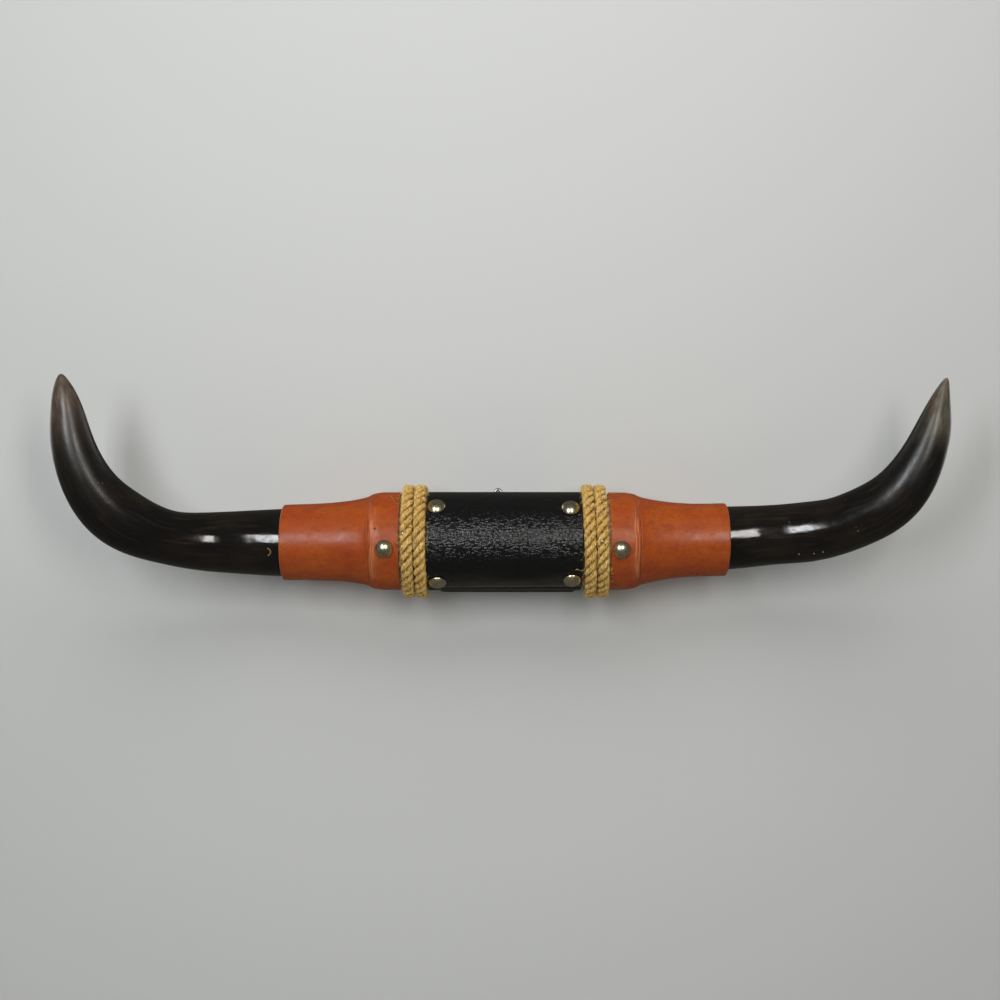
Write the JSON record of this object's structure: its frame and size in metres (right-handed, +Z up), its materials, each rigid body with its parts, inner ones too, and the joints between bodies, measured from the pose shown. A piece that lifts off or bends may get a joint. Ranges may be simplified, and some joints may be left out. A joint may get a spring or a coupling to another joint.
{
  "type": "steer horn plaque",
  "caption": "Pair of polished steer horns joined by a leather-covered core with rope bindings and domed tacks, on a small back board with a hanging ring.",
  "frame": {"origin": "on the board's flat back, which lies on the wall, straight behind the axis of the core", "axes": "+X along the core, to the right of someone facing the wall; +Y into the wall; +Z up"},
  "size_m": [0.6082, 0.114, 0.1553],
  "materials": {
    "horn": "polished near-black horn with brown and olive depth",
    "black_leather": "black pebbled leather, half matt",
    "tan_leather": "russet tan leather, waxed",
    "rope": "three-strand straw-coloured fibre rope",
    "tack": "antique nickel plating, softly polished",
    "hanger_steel": "zinc-plated steel",
    "wood": "plain sanded wood, no varnish"
  },
  "bodies": {
    "root": {"core": "wood", "back_board": "wood", "center_wrap": "black_leather", "sleeve_left": "tan_leather", "sleeve_right": "tan_leather", "horn_left": "horn", "horn_right": "horn", "rope_left": "rope", "rope_right": "rope", "tack_wrap_upper_left": "tack", "tack_wrap_upper_right": "tack", "tack_wrap_lower_left": "tack", "tack_wrap_lower_right": "tack", "tack_sleeve_left": "tack", "tack_sleeve_right": "tack", "board_screw_left": "hanger_steel", "board_screw_right": "hanger_steel", "hanger_ring": "hanger_steel", "hanger_strap": "hanger_steel", "hanger_screw": "hanger_steel"}
  },
  "joints": []
}
